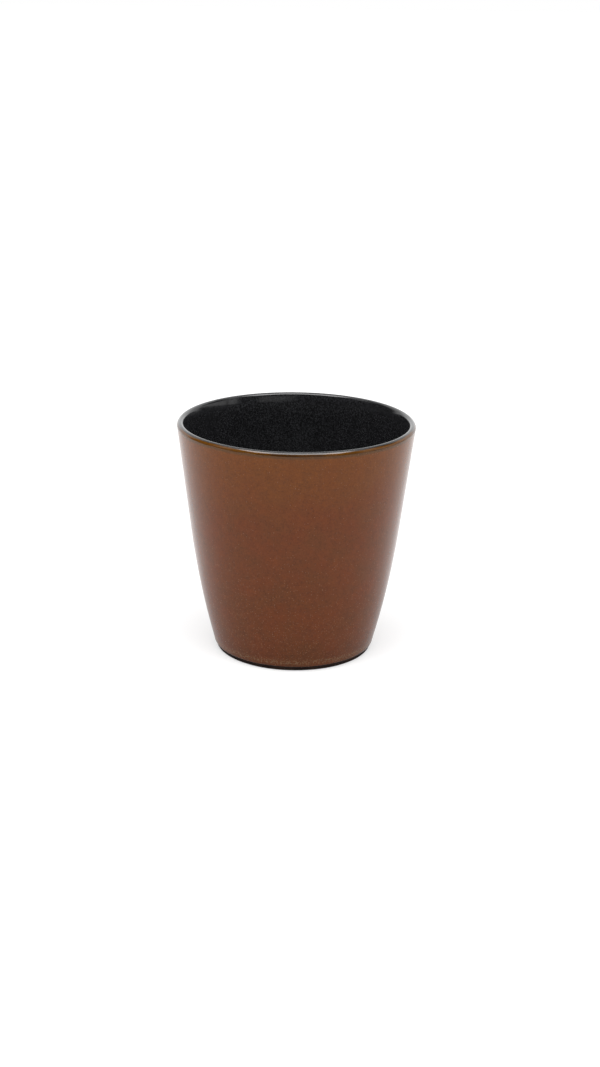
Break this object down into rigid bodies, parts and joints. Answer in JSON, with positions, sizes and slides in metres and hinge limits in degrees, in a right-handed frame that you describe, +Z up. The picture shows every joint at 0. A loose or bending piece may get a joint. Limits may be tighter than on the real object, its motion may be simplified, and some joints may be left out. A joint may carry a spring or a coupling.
{
  "type": "cup",
  "caption": "Handleless tapered stoneware drinking cup with a rust brown satin outside, black speckled glossy inside, thin amber glazed lip and bare clay foot.",
  "frame": {"origin": "centre of the foot ring, on the plane that the cup stands on", "axes": "+Z up along the cup's axis of turning, -Y towards the viewer of the picture"},
  "size_m": [0.08, 0.08, 0.0795],
  "materials": {
    "bare_stoneware": "matte",
    "rust_satin_glaze": "satin",
    "black_speckled_glaze": "gloss",
    "amber_rim_glaze": "gloss"
  },
  "bodies": {
    "root": {"stoneware_body": "bare_stoneware", "outer_glaze": "rust_satin_glaze", "liner_glaze": "black_speckled_glaze", "rim_glaze": "amber_rim_glaze"}
  },
  "joints": []
}
